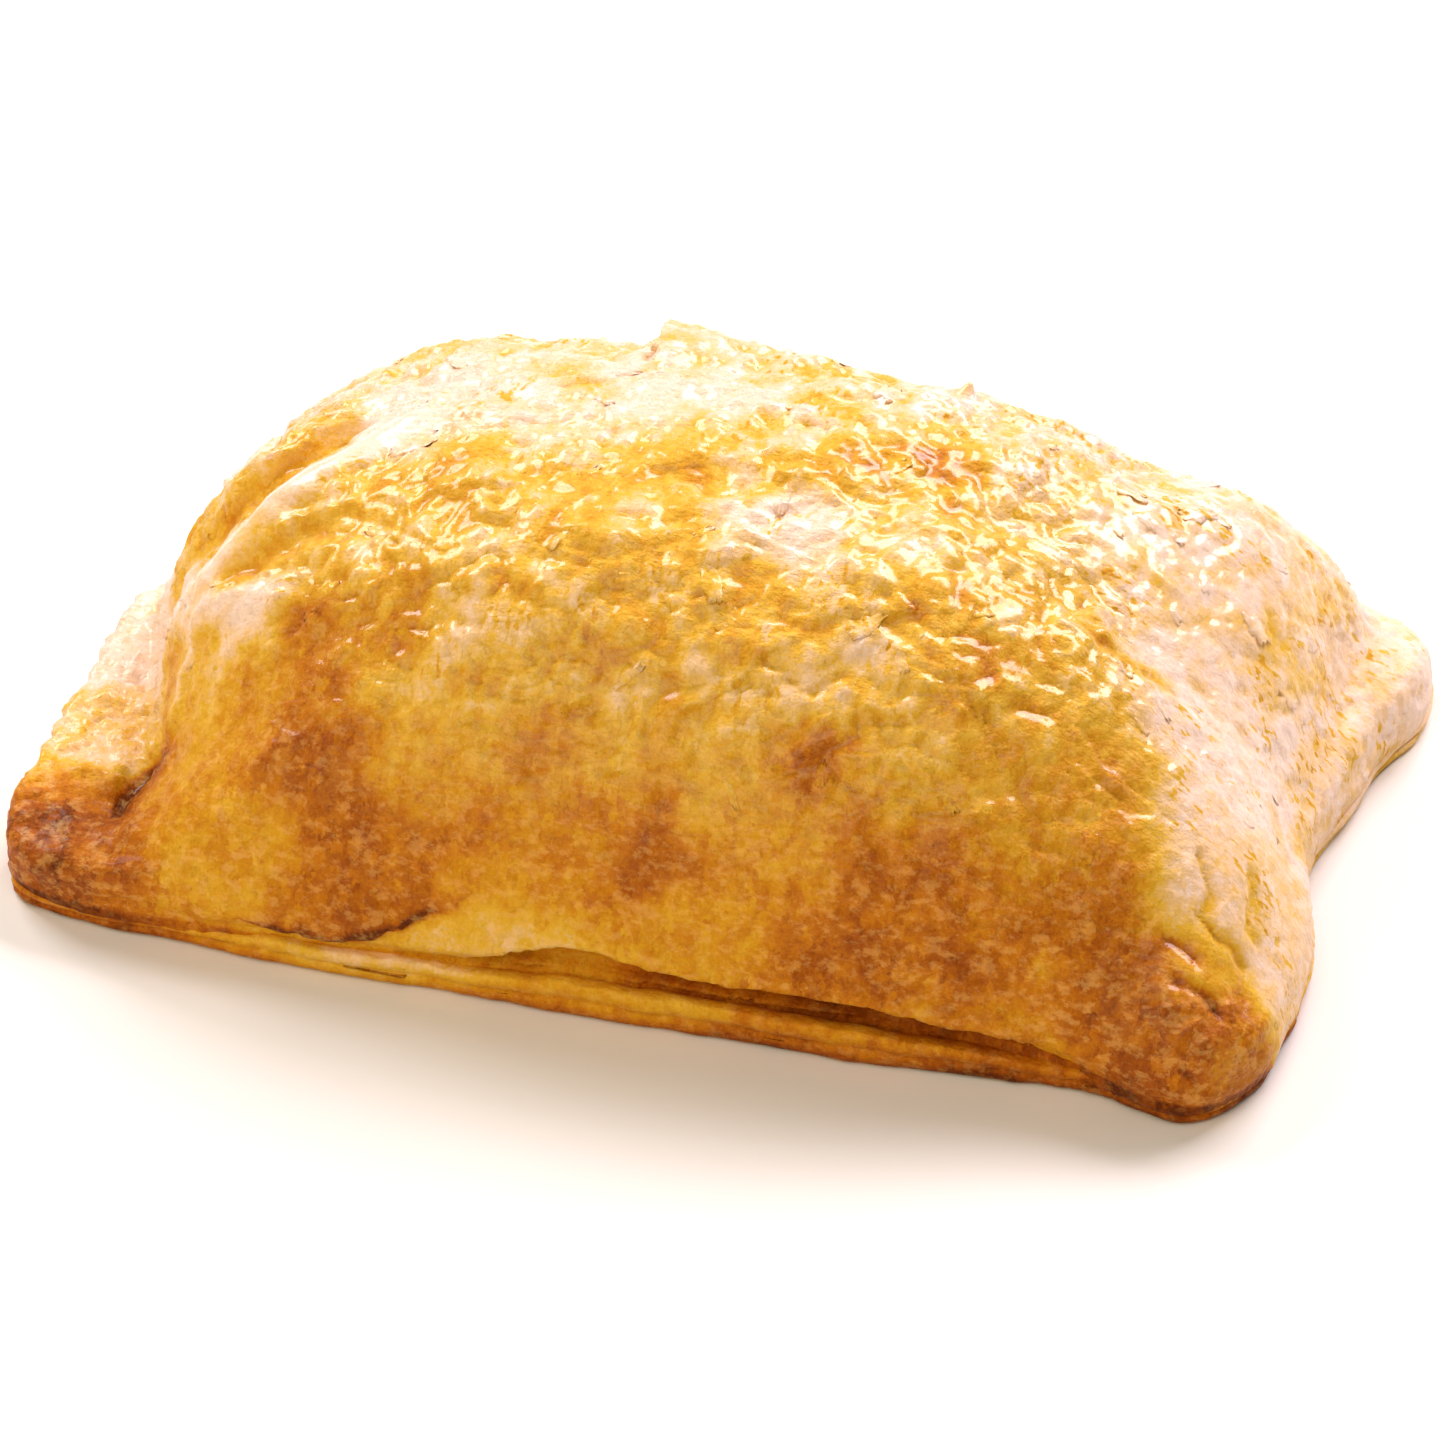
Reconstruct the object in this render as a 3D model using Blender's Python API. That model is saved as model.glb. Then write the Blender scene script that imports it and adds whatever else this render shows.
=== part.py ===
"""A mini creamy chicken pie: a rectangular parcel of puff pastry, baked shut.

Two sheets of pastry are pressed together round a filling. The lower sheet lies flat and
shows as a pale lip under a dark seam. The upper sheet puffs into a loaf-shaped dome,
which comes down steeply to the front edge and leaves thick flaps at three corners.

Metres, +Z up. X runs along the pie, Y from its front to its back. The origin is under
the middle of the pie, on the surface that it stands on. Lengths below are in millimetres
until the points are written into the mesh.
"""

import math

import bpy
import bmesh
from mathutils import Vector, noise

MM = 0.001

# Driving dimensions
LENGTH = 92.0
WIDTH = 55.0
CROWN_HEIGHT = 29.0
RIM_HEIGHT = 6.0
SEAM_HEIGHT = 3.6
SEAM_DEPTH = 1.2
# Share of that depth at the left and along the back; at the right the edge is closed
SIDE_GROOVE, BACK_GROOVE = 0.5, 0.75

# Cells of the upper sheet along X and Y
CELLS_X = 72
CELLS_Y = 44

# Plan outline: what each side gains or loses against the plain rectangle
RIGHT_NIP = 2.9
RIGHT_SET_IN = 0.7
BACK_FLAP = 1.5
FRONT_TUCK = 0.7
FRONT_TIP = 0.7
LEFT_STEP = 2.2
FRONT_FULLER = 0.7
FRONT_NIP = 1.3
BACK_FULLER = 1.2
BACK_DRAWN_IN = 1.6
CORNER_CUT = 2.4

# Flat rim left between the outline and the foot of the dome
RIM_LEFT_FRONT, RIM_LEFT_BACK = 7.5, 1.6
RIM_RIGHT_MIDDLE, RIM_RIGHT_BACK, RIM_RIGHT_FRONT = 0.5, 4.6, 3.0
RIM_FRONT, RIM_BACK = 0.3, 1.0

# How much thicker or lower the rim gets towards its corners
FRONT_RIGHT_THICK, FRONT_LEFT_DROOP = 0.5, 0.9
BACK_RIGHT_DROOP, BACK_LEFT_THICK = 1.2, 0.8

# How far in from its foot each wall still climbs, how full it is, and how hollow its foot
LEFT_WALL = (29.0, 1.9, 1.3)
RIGHT_WALL = (26.0, 1.85, 0.5)
FRONT_WALL = (21.0, 1.8, 0.3)
BACK_WALL = (20.0, 2.2, 0.9)
LEAN_BACK_LEFT = 0.25
# Towards the front corners and along the right the walls come down more gently
EASY_LEFT_POWER, EASY_LEFT_FOOT = 0.40, 1.8
EASY_RIGHT_POWER, EASY_RIGHT_FOOT = 0.36, 0.4

# Fall of the dome's spine towards its two ends
FALL_LEFT, FALL_RIGHT = 1.9, 2.6

# Marks that this one pie carries. A fold runs between two places in plan and a knoll sits
# on one; then come its spread and its height, which is below zero where it goes inwards.
CREASE = ((-40.0, -6.0), (-29.0, 4.0), 1.8, -1.7)
RIDGE = ((-37.5, -9.4), (-26.5, -2.0), 1.9, 0.9)
SHOULDER = ((-35.0, -13.0), (-26.0, -14.5), 2.2, 0.8)
CRACK = ((-38.0, -17.8), (-38.9, -20.6), 0.9, -0.6)
SADDLE = ((37.0, -22.0), (41.5, -18.5), 2.2, -0.7)
FOLDS = (CREASE, RIDGE, SHOULDER, CRACK, SADDLE)
LOBE = ((-29.0, 15.0), 6.5, 1.0)
LEDGE = ((35.0, 18.5), 5.5, 1.5)
BACK_SWELL = ((11.0, 18.5), 8.0, 0.8)
KNOB = ((40.8, -23.6), 3.2, 1.0)
DIMPLE = ((40.6, -25.6), 1.4, -0.3)
FLAP_CURL = ((43.0, 22.0), 4.0, 0.5)
KNOLLS = (LOBE, LEDGE, BACK_SWELL, KNOB, DIMPLE, FLAP_CURL)

# The torn flake along the crown's back: it starts at a sharp step and fades to the right
TORN_STEP_X, TORN_END_X, TORN_Y, TORN_SPREAD, TORN_HEIGHT = -9.8, 13.0, 17.0, 4.5, 2.3
# The back left lobe ends in a smaller step
LOBE_STEP_X, LOBE_END_X, LOBE_Y, LOBE_SPREAD, LOBE_HEIGHT = -20.2, -34.0, 18.0, 6.0, 0.9

# Relief of the crust: broad puffs, lumps, the steps where a flake ends, and the crimped rim
PUFF_SIZE, PUFF_HEIGHT = 13.0, 0.75
LUMP_SIZE, LUMP_HEIGHT = 5.2, 0.42
FLAKE_LONG, FLAKE_WIDE, FLAKE_HEIGHT = 9.0, 4.5, 0.40
CRIMP_SIZE, CRIMP_DEPTH = 4.2, 0.35
SEAM_WAVE_SIZE, SEAM_WAVE_HEIGHT = 11.0, 0.35
PUFF_PLACE = Vector((3.1, 7.7, 1.3))
LUMP_PLACE = Vector((11.0, 2.0, 5.0))
FLAKE_PLACE = Vector((0.4, 9.2, 4.0))

# Rows of the edge from the rim down. Each has its height, as a share of the sheet that it is
# on, its push outwards, and its share of the seam's groove.
UPPER_ROWS = ((0.74, 0.45, 0.0), (0.40, 0.50, 0.0), (0.12, 0.25, 0.5))
LOWER_ROWS = (
    (1.00, 0.05, 1.0),
    (0.88, 0.10, 0.8),
    (0.72, 0.40, 0.1),
    (0.44, 0.60, 0.0),
    (0.16, 0.40, 0.0),
    (0.00, -0.35, 0.0),
)
CORNER_BELLY = 0.9

CRUST_COLOUR = (0.66, 0.36, 0.095, 1.0)
CRUST_ROUGHNESS = 0.42


def clear_scene():
    for old in list(bpy.data.objects):
        bpy.data.objects.remove(old, do_unlink=True)


def smooth(low, high, value):
    """0 at low, 1 at high, and a smooth step between them."""
    t = min(1.0, max(0.0, (value - low) / (high - low)))
    return t * t * (3.0 - 2.0 * t)


def hill(value, centre, spread):
    """A smooth bump of height 1 round centre."""
    return math.exp(-(((value - centre) / spread) ** 2))


def knoll(x, y, centre, spread, height):
    """A smooth round bump over a place in plan."""
    return height * math.exp(-((x - centre[0]) ** 2 + (y - centre[1]) ** 2) / spread**2)


def fold(x, y, start, end, spread, height):
    """A smooth wall along a straight line in plan, fading past its two ends."""
    along = Vector((end[0] - start[0], end[1] - start[1]))
    place = Vector((x - start[0], y - start[1]))
    share = min(1.0, max(0.0, place.dot(along) / along.length_squared))
    gap = (place - along * share).length
    return height * math.exp(-((gap / spread) ** 2))


def crowded(t, share=0.72):
    """Moves -1..1 so that cells crowd towards the edges, where the walls are steep."""
    return math.sin(t * share * math.pi / 2) / math.sin(share * math.pi / 2)


def right_end(v):
    """Half length on the right: nipped in at the middle, and flared into a flap at the back."""
    nip = RIGHT_NIP * hill(v, 0.0, 0.5 if v > 0 else 0.3)
    flap = BACK_FLAP * smooth(0.45, 0.85, v)
    tuck = FRONT_TUCK * smooth(-0.45, -0.85, v)
    return LENGTH / 2 - RIGHT_SET_IN - nip + flap - tuck - CORNER_CUT * abs(v) ** 14


def left_end(v):
    """Half length on the left: a tip at the front, and a step inwards behind the middle."""
    tip = FRONT_TIP * smooth(-0.6, -0.9, v)
    return LENGTH / 2 + tip - LEFT_STEP * smooth(0.08, 0.3, v) - CORNER_CUT * abs(v) ** 12


def front_side(u):
    """Half width at the front: fuller left of the middle, drawn in before the right corner."""
    fuller = FRONT_FULLER * (hill(u, -0.4, 0.35) + hill(u, 0.96, 0.1))
    nip = FRONT_NIP * hill(u, 0.72, 0.2)
    return WIDTH / 2 + fuller - nip - CORNER_CUT * abs(u) ** (30 if u > 0 else 22)


def back_side(u):
    """Half width at the back: drawn in along the middle, so that the right corner stands out."""
    fuller = BACK_FULLER * smooth(0.6, 0.9, u)
    return WIDTH / 2 + fuller - BACK_DRAWN_IN * hill(u, 0.0, 0.6) - CORNER_CUT * abs(u) ** 16


def crimp(u, v):
    """How far the pressed edge wavers in and out at a place along it."""
    place = Vector((u * LENGTH / 2, v * WIDTH / 2, 3.0)) / CRIMP_SIZE
    return CRIMP_DEPTH * noise.noise(place) * smooth(0.75, 1.0, max(abs(u), abs(v)))


def rise(inset, reach, power, foot):
    """Superellipse rise from 0 at the rim to 1 at the inset called reach, hollow at its foot."""
    t = min(1.0, max(0.0, inset / reach))
    hollow = 1.0 - math.exp(-max(0.0, inset) / foot)
    return hollow * (1.0 - (1.0 - t) ** power) ** (1.0 / power)


def dome_share(x, y, u, v):
    """0 on the flat rim and the flaps, 1 on the dome's spine."""
    rim_left = RIM_LEFT_FRONT + (RIM_LEFT_BACK - RIM_LEFT_FRONT) * smooth(-0.75, 0.25, v)
    rim_right = (
        RIM_RIGHT_MIDDLE
        + (RIM_RIGHT_BACK - RIM_RIGHT_MIDDLE) * smooth(0.1, 0.9, v)
        + (RIM_RIGHT_FRONT - RIM_RIGHT_MIDDLE) * smooth(-0.6, -1.0, v)
    )
    reach, power, foot = LEFT_WALL
    easy = smooth(-0.3, -0.8, v)
    power -= LEAN_BACK_LEFT * smooth(0.0, 0.8, v) + EASY_LEFT_POWER * easy
    left = rise(left_end(v) + x - rim_left, reach, power, foot + EASY_LEFT_FOOT * easy)
    reach, power, foot = RIGHT_WALL
    easy = smooth(0.6, -0.1, v)
    power -= EASY_RIGHT_POWER * easy
    right = rise(right_end(v) - x - rim_right, reach, power, foot + EASY_RIGHT_FOOT * easy)
    front = rise(front_side(u) + y - RIM_FRONT, *FRONT_WALL)
    back = rise(back_side(u) - y - RIM_BACK, *BACK_WALL)
    return left * right * front * back


def crown(x):
    """Height of the dome's spine: highest near the middle, lower towards both ends."""
    return CROWN_HEIGHT - FALL_LEFT * smooth(-4.0, -30.0, x) - FALL_RIGHT * smooth(6.0, 28.0, x)


def rim_height(u, v):
    """Height of the pressed rim: thick at the front right corner, lower at the other tips."""
    front = smooth(-0.7, -1.0, v)
    front_right = FRONT_RIGHT_THICK * front * smooth(0.7, 1.0, u)
    front_left = FRONT_LEFT_DROOP * front * smooth(-0.7, -1.0, u)
    back_right = BACK_RIGHT_DROOP * smooth(0.8, 1.0, u) * smooth(0.7, 1.0, v)
    back_left = BACK_LEFT_THICK * smooth(-0.8, -1.0, u) * smooth(0.1, 0.5, v)
    return RIM_HEIGHT + front_right - front_left - back_right + back_left


def marks(x, y):
    """The folds, lobes, torn flake and corner lumps, as one height over the plain dome."""
    torn = TORN_HEIGHT * smooth(TORN_STEP_X - 0.6, TORN_STEP_X + 0.6, x)
    torn *= smooth(TORN_END_X, TORN_STEP_X + 2.8, x) * hill(y, TORN_Y, TORN_SPREAD)
    step = LOBE_HEIGHT * smooth(LOBE_STEP_X + 1.2, LOBE_STEP_X - 1.2, x)
    step *= smooth(LOBE_END_X, LOBE_END_X + 8.0, x) * hill(y, LOBE_Y, LOBE_SPREAD)
    folds = sum(fold(x, y, *mark) for mark in FOLDS)
    return torn + step + folds + sum(knoll(x, y, *mark) for mark in KNOLLS)


def relief(x, y, z):
    """Uneven puffing of the crust, with soft steps where a top flake ends."""
    puff = PUFF_HEIGHT * noise.noise(Vector((x, y, z)) / PUFF_SIZE + PUFF_PLACE)
    lump = LUMP_HEIGHT * noise.noise(Vector((x, y, z)) / LUMP_SIZE + LUMP_PLACE)
    grain = Vector((x / FLAKE_LONG, y / FLAKE_WIDE, z / FLAKE_WIDE)) + FLAKE_PLACE
    flake = FLAKE_HEIGHT * (smooth(0.02, 0.22, noise.noise(grain)) - 0.5)
    return puff + lump + flake


def top_point(p, q):
    """A point of the upper sheet for grid place p, q, each from -1 to 1."""
    u, v = crowded(p), crowded(q)
    waver = 1.0 + crimp(u, v) / (LENGTH / 2)
    x = u * waver * (right_end(v) if u > 0 else left_end(v))
    y = v * waver * (back_side(u) if v > 0 else front_side(u))
    z = rim_height(u, v) + (crown(x) - RIM_HEIGHT) * dome_share(x, y, u, v)
    inside = 0.3 + 0.7 * smooth(1.0, 0.93, max(abs(u), abs(v)))
    z += (marks(x, y) + relief(x, y, z)) * inside
    return Vector((x, y, z))


def seam_height(x, y):
    """Height of the seam between the sheets: along the front it sinks towards both corners."""
    front = smooth(-10.0, -20.0, y)
    sink = 1.2 * smooth(24.0, 36.0, x) + 0.8 * smooth(-4.0, -14.0, x)
    wave = SEAM_WAVE_HEIGHT * noise.noise(Vector((x, y, 0.0)) / SEAM_WAVE_SIZE)
    return SEAM_HEIGHT - front * sink + wave


def seam_depth(x, y):
    """Depth of the groove: open along the front's middle, shallow elsewhere, shut at the corners."""
    front = smooth(-24.0, -8.0, x) * smooth(37.0, 31.0, x)
    side = SIDE_GROOVE * smooth(WIDTH / 2 - 2.0, WIDTH / 2 - 9.0, abs(y)) * smooth(0.0, -9.0, x)
    back = BACK_GROOVE * smooth(LENGTH / 2 - 4.0, LENGTH / 2 - 14.0, abs(x))
    return SEAM_DEPTH * max(side, front if y < 0 else back)


def outward(p, q):
    """Direction out of the outline at a point of its edge, turning smoothly round each corner."""
    turn = Vector((abs(p) ** 14 * math.copysign(1, p), abs(q) ** 10 * math.copysign(1, q), 0))
    return turn.normalized()


def edge_point(p, q, row):
    """A point of the edge below grid place p, q, where row 1 is next under the rim."""
    rim = top_point(p, q)
    seam = seam_height(rim.x, rim.y)
    if row <= len(UPPER_ROWS):
        share, push, groove = UPPER_ROWS[row - 1]
        height = seam + (rim.z - seam) * share
    else:
        share, push, groove = LOWER_ROWS[row - 1 - len(UPPER_ROWS)]
        height = seam * share
    at_corner = (abs(p) * abs(q)) ** 8
    belly = CORNER_BELLY * at_corner * math.sin(math.pi * min(1.0, height / RIM_HEIGHT))
    spot = rim + outward(p, q) * (push + belly - groove * seam_depth(rim.x, rim.y))
    spot.z = height
    return spot


def pie_mesh():
    """The closed mesh: a grid for the upper sheet, rows down its edge, and the flat base."""
    bm = bmesh.new()
    bmesh.ops.create_grid(bm, x_segments=CELLS_X, y_segments=CELLS_Y, size=1.0)
    row_of = bm.verts.layers.int.new("row")
    place_p = bm.verts.layers.float.new("place_p")
    place_q = bm.verts.layers.float.new("place_q")
    for vert in bm.verts:
        vert[place_p] = vert.co.x
        vert[place_q] = vert.co.y
    rim = [edge for edge in bm.edges if edge.is_boundary]
    for row in range(1, len(UPPER_ROWS) + len(LOWER_ROWS) + 1):
        made = bmesh.ops.extrude_edge_only(bm, edges=rim)["geom"]
        rim = [part for part in made if isinstance(part, bmesh.types.BMEdge) and part.is_boundary]
        for edge in rim:
            for vert in edge.verts:
                vert[row_of] = row
    bmesh.ops.holes_fill(bm, edges=rim, sides=0)
    for vert in bm.verts:
        p, q, row = vert[place_p], vert[place_q], vert[row_of]
        vert.co = edge_point(p, q, row) if row else top_point(p, q)
    low = Vector([min(vert.co[axis] for vert in bm.verts) for axis in range(3)])
    high = Vector([max(vert.co[axis] for vert in bm.verts) for axis in range(3)])
    foot = Vector(((low.x + high.x) / 2, (low.y + high.y) / 2, low.z))
    for vert in bm.verts:
        vert.co = (vert.co - foot) * MM
    bmesh.ops.recalc_face_normals(bm, faces=bm.faces)
    for face in bm.faces:
        face.smooth = True
    mesh = bpy.data.meshes.new("pie")
    bm.to_mesh(mesh)
    bm.free()
    return mesh


def crust_material():
    material = bpy.data.materials.new("baked_crust")
    material.use_nodes = True
    shader = material.node_tree.nodes["Principled BSDF"]
    shader.inputs["Base Color"].default_value = CRUST_COLOUR
    shader.inputs["Roughness"].default_value = CRUST_ROUGHNESS
    shader.inputs["Metallic"].default_value = 0.0
    return material


def main():
    clear_scene()
    collection = bpy.data.collections.new("mini_creamy_chicken_pie")
    bpy.context.scene.collection.children.link(collection)
    mesh = pie_mesh()
    mesh.materials.append(crust_material())
    collection.objects.link(bpy.data.objects.new("pie", mesh))


main()
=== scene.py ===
# %% [markdown]
# A mini creamy chicken pie, about as long as a finger. Two sheets of puff pastry are pressed
# together round a filling and baked shut. The lower sheet shows as a pale lip under a dark
# seam. The upper sheet has puffed into a loaf shape, browned by an egg wash, with flakes that
# lift, blisters, and pale creases where the dough stretched; here their paleness is partly
# painted highlight. We load the imported solid first, because every piece below is measured
# from it.

import math
import random

import bmesh
import bpy
import numpy as np
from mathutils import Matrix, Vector, noise
from mathutils.bvhtree import BVHTree


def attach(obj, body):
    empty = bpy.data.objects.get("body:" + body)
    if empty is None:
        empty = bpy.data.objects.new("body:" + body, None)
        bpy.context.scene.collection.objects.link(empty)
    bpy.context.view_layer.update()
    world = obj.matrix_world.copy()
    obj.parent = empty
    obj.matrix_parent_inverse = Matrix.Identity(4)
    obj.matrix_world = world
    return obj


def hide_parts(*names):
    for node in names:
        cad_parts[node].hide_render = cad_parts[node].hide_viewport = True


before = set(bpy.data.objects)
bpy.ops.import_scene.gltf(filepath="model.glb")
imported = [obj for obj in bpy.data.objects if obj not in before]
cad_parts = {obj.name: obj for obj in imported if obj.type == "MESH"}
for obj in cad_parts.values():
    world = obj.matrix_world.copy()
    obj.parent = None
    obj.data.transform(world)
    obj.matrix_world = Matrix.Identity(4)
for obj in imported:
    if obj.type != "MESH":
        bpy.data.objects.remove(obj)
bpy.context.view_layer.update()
MM = 0.001

# %% [markdown]
# The photo looks at the pie's long front side from about 37 degrees above the table and 16
# degrees to the right. A long lens keeps the far edge nearly as long as the near one, so we
# use a long lens too, and aim a little above the middle of the base.

# %% Place the camera
AZIMUTH, ELEVATION = math.radians(16.2), math.radians(37.0)
CAMERA_DISTANCE = 0.5429
LENS, SENSOR = 187.5, 36.0
AIM_RIGHT, AIM_UP = -0.00066, 0.00484


def direction(azimuth, elevation):
    """Unit vector from the pie towards a place round it: azimuth 0 is in front, 90 on its right."""
    return Vector((
        math.sin(azimuth) * math.cos(elevation),
        -math.cos(azimuth) * math.cos(elevation),
        math.sin(elevation),
    ))


def new_object(name, data):
    """A new object, put into the scene."""
    made = bpy.data.objects.new(name, data)
    bpy.context.scene.collection.objects.link(made)
    return made


back = direction(AZIMUTH, ELEVATION)
right = Vector((math.cos(AZIMUTH), math.sin(AZIMUTH), 0.0))
up = back.cross(right)
camera = new_object("camera", bpy.data.cameras.new("camera"))
camera.data.lens = LENS
camera.data.sensor_width = SENSOR
camera.data.clip_start = 0.01
camera.location = right * AIM_RIGHT + up * AIM_UP + back * CAMERA_DISTANCE
camera.rotation_mode = "QUATERNION"
camera.rotation_quaternion = (-back).to_track_quat("-Z", "Y")
bpy.context.scene.camera = camera
print("Camera", round(CAMERA_DISTANCE / MM), "mm away")

# %% [markdown]
# Dough is uneven at every size: broad puffs, blisters, wrinkles. Each of these is a noise
# field that we can read at any point of the crust, in millimetres. A fixed place in the noise
# keeps the result the same on each run. Flakes are noise that is cut into flat levels, so
# that each level ends in a small step, as a torn leaf of pastry does.

# %% Helpers that read noise at many points
def smooth(low, high, value):
    """0 below low, 1 above high, and a smooth step between them."""
    t = np.clip((value - low) / (high - low), 0.0, 1.0)
    return t * t * (3.0 - 2.0 * t)


def hill(value, centre, spread):
    """A smooth bump of height 1 round centre."""
    return np.exp(-(((value - centre) / spread) ** 2))


def wavy(points, size, place, stretch=(1.0, 1.0, 1.0)):
    """Smooth noise from about -1 to 1, with waves of about size mm."""
    spots = points / (np.array(stretch) * size) + place
    return np.array([noise.noise(spot) for spot in spots.tolist()])


def warped(points, size, amount, place):
    """The same points, each pushed aside by noise, so that outlines read from them wander."""
    push = [wavy(points, size, place + 17.0 * axis) for axis in range(3)]
    return points + amount * np.stack(push, axis=1)


def puffy(points, size, place, stretch=(1.0, 1.0, 1.0)):
    """Rounded cushions from 0 to 1 with sharp creases between them."""
    return np.clip(2.2 * np.abs(wavy(points, size, place, stretch)), 0.0, 1.0)


def shingled(points, size, place, levels, edge=0.2, stretch=(1.0, 1.0, 1.0)):
    """Overlapping flakes from -0.5 to 0.5: each slopes down gently and ends in a steep step."""
    level = (wavy(points, size, place, stretch) * 0.5 + 0.5) * levels
    share = level - np.floor(level)
    return smooth(1.0 - edge, 1.0, share) - share + 0.5 * (1.0 - edge)


def span(values):
    """The smallest and the largest of many numbers, in words."""
    return f"from {values.min():.2f} to {values.max():.2f}"


def along_line(points, line):
    """Distance in mm from each point to a bent line, in plan where the line has no heights."""
    best = np.full(len(points), 1e9)
    for start, end in zip(line[:-1], line[1:]):
        start, end = np.array(start), np.array(end)
        run = end - start
        share = np.clip(((points[:, :len(run)] - start) @ run) / (run @ run), 0.0, 1.0)
        gap = points[:, :len(run)] - start - share[:, None] * run
        best = np.minimum(best, np.linalg.norm(gap, axis=1))
    return best


# %% [markdown]
# Every piece is shaped as a plain list of points in millimetres, and written back into its
# mesh at the end. So we need helpers that read and write points, close holes and apply one
# modifier. A search tree of the solid tells us later where its surface is.

# %% Helpers that read and write meshes
def read_vectors(things, field):
    """One vector field of many things, as rows of three numbers."""
    flat = np.empty(len(things) * 3, np.float32)
    things.foreach_get(field, flat)
    return flat.reshape(-1, 3).astype(float)


def mesh_points(mesh):
    """Points of a mesh in mm."""
    return read_vectors(mesh.vertices, "co") / MM


def mesh_normals(mesh):
    """Outward directions at the points of a mesh."""
    return read_vectors(mesh.vertex_normals, "vector")


def set_points(mesh, points):
    """Moves the points of a mesh to places given in mm."""
    mesh.vertices.foreach_set("co", (points * MM).astype(np.float32).ravel())
    mesh.update()


def close_holes(bm):
    """Closes each open rim of a bmesh with one face."""
    bmesh.ops.holes_fill(bm, edges=[edge for edge in bm.edges if edge.is_boundary], sides=0)


def to_mesh(bm, name):
    """A mesh made from a bmesh, which is then let go."""
    mesh = bpy.data.meshes.new(name)
    bm.to_mesh(mesh)
    bm.free()
    return mesh


def packed_solid():
    """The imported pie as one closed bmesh."""
    bm = bmesh.new()
    bm.from_mesh(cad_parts["pie"].data)
    bmesh.ops.remove_doubles(bm, verts=bm.verts, dist=1e-7)
    return bm


def with_modifier(mesh, kind, **settings):
    """A new mesh: the given one with one modifier applied."""
    carrier = new_object("carrier", mesh)
    modifier = carrier.modifiers.new("change", kind)
    for setting, value in settings.items():
        setattr(modifier, setting, value)
    changed = carrier.evaluated_get(bpy.context.evaluated_depsgraph_get())
    made = bpy.data.meshes.new_from_object(changed)
    bpy.data.objects.remove(carrier)
    return made


solid = packed_solid()
solid_tree = BVHTree.FromBMesh(solid)
print("The packed pie has", len(solid.faces), "faces")
solid.free()

# %% [markdown]
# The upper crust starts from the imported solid, cut off level with the lower sheet and
# remeshed into small even cells. Even cells let one rule raise flakes on the flat top and on
# the steep walls alike. At the right the dough sags softly down to its edge, so the cells
# there are relaxed until the pressed rim is gone. The crust's flat foot doesn't show, so one
# face closes it.

# %% Cut and remesh the blank of the upper crust
CELL = 0.37
CRUST_FOOT = 0.9
SOFT_FROM_X, SOFT_FROM_Z = 29.0, 1.5
SOFT_ROUNDS = 45
FACES_DOWN = -0.9


def crust_blank():
    """The solid above the foot's level, in even cells, with one face for its foot."""
    bm = packed_solid()
    whole = bm.verts[:] + bm.edges[:] + bm.faces[:]
    level = (0, 0, CRUST_FOOT * MM)
    bmesh.ops.bisect_plane(bm, geom=whole, plane_co=level, plane_no=(0, 0, -1), clear_outer=True)
    close_holes(bm)
    even = with_modifier(to_mesh(bm, "rough"), "REMESH", mode="VOXEL", voxel_size=CELL * MM)
    bm = bmesh.new()
    bm.from_mesh(even)
    soft_x, soft_z = SOFT_FROM_X * MM, SOFT_FROM_Z * MM
    sagging = [vert for vert in bm.verts if vert.co.x > soft_x and vert.co.z > soft_z]
    every_way = {"use_axis_x": True, "use_axis_y": True, "use_axis_z": True}
    for _ in range(SOFT_ROUNDS):
        bmesh.ops.smooth_vert(bm, verts=sagging, factor=0.5, **every_way)
    low = (CRUST_FOOT + CELL) * MM
    facing_down = [face for face in bm.faces if face.normal.z < FACES_DOWN]
    foot = [face for face in facing_down if face.calc_center_median().z < low]
    bmesh.ops.delete(bm, geom=foot, context="FACES")
    close_holes(bm)
    return to_mesh(bm, "upper_crust")


crust_mesh = crust_blank()
points = mesh_points(crust_mesh)
normals = mesh_normals(crust_mesh)
print("Upper crust blank:", len(crust_mesh.polygons), "cells")

# %% [markdown]
# Along the front the two sheets have parted: the seam gapes left of the middle and runs on to
# the right as a dark slot. Elsewhere it is shut and shows as a fine line. The crust's wall is
# set back below the seam's upper edge and swells out just above it.

# %% Shape the edge of the upper crust along the seam
# Pairs of a place along X and a value there, both in mm
SEAM_FRONT = (
    (-47.0, 1.6), (-30.0, 2.2), (-14.0, 2.4), (-10.6, 2.7), (-7.4, 4.7), (-4.0, 5.7), (-1.0, 5.7),
    (2.5, 5.1), (8.0, 4.9), (13.0, 5.1), (18.0, 4.9), (22.0, 4.4), (27.0, 3.1), (32.0, 2.2), (47.0, 1.6),
)
SET_BACK_FRONT = (
    (-47.0, 0.0), (-31.0, 0.05), (-14.0, 0.3), (-10.0, 0.9), (-6.0, 1.5), (4.0, 1.6), (12.0, 2.0),
    (23.0, 2.0), (28.0, 1.1), (33.0, 0.4), (47.0, 0.3),
)
SEAM_ROUND, SET_BACK_ROUND = 1.7, 0.35
SEAM_WAVE, SEAM_ROUND_WAVE = 0.15, 0.3
SEAM_SOFT = 0.5
SHUT_X, SHUT_SHARE = (33.0, 38.0), 0.8
EDGE_SWELL, SWELL_RISE, SWELL_REACH = 0.25, 1.0, 0.8


def front_share(places):
    """1 on the front half of the outline, 0 on the back half."""
    return smooth(-8.0, -18.0, places[:, 1])


def along_front(places, stations, elsewhere):
    """A value read from stations along the front, and another value round the rest of the pie."""
    front = np.interp(places[:, 0], *zip(*stations))
    return elsewhere + front_share(places) * (front - elsewhere)


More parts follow.
